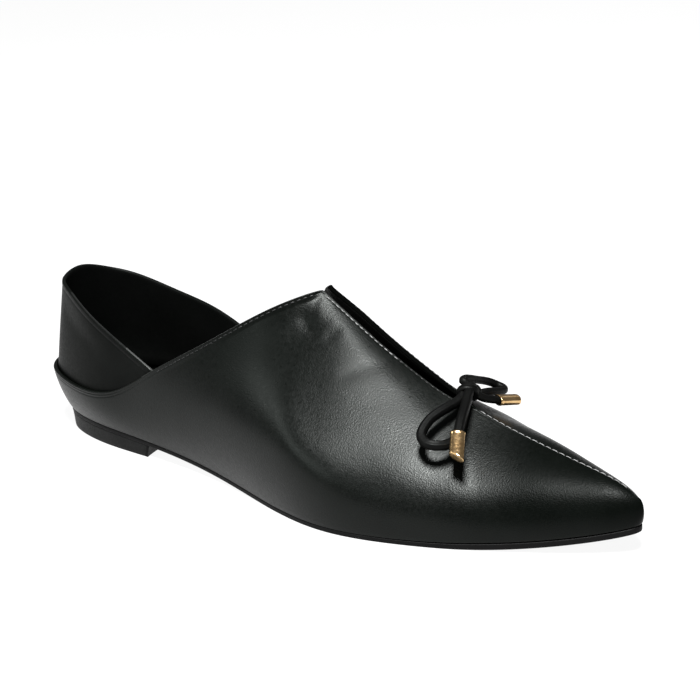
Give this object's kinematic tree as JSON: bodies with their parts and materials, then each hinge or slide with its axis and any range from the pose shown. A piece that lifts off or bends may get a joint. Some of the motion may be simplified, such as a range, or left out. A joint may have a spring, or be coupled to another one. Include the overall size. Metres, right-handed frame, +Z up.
{
  "type": "flat shoe",
  "caption": "Pointed flat shoe with a slit and centre seam on the vamp, a cord bow with metal ends, a soft inner heel panel and a low heel.",
  "frame": {"origin": "on the floor, in the middle of the shoe's footprint box", "axes": "+X from heel to toe, +Y to the inner (medial) side, +Z up"},
  "size_m": [0.262, 0.0777, 0.0718],
  "materials": {
    "upper_leather": "black smooth leather, satin, fine grain",
    "panel_leather": "black soft leather, satin",
    "insole_lining": "black matt lining",
    "sole_rubber": "black, matt",
    "heel_rubber": "black, matt",
    "cord_leather": "black stitched leather cord",
    "gold_metal": "polished gold"
  },
  "bodies": {
    "root": {"upper": "upper_leather", "back_panel": "panel_leather", "insole": "insole_lining", "outsole": "sole_rubber", "heel": "heel_rubber", "bow_knot": "cord_leather", "bow_loop_near": "cord_leather", "bow_loop_far": "cord_leather", "bow_tail_near": "cord_leather", "bow_tail_far": "cord_leather", "cord_tip_near": "gold_metal", "cord_tip_far": "gold_metal"}
  },
  "joints": []
}
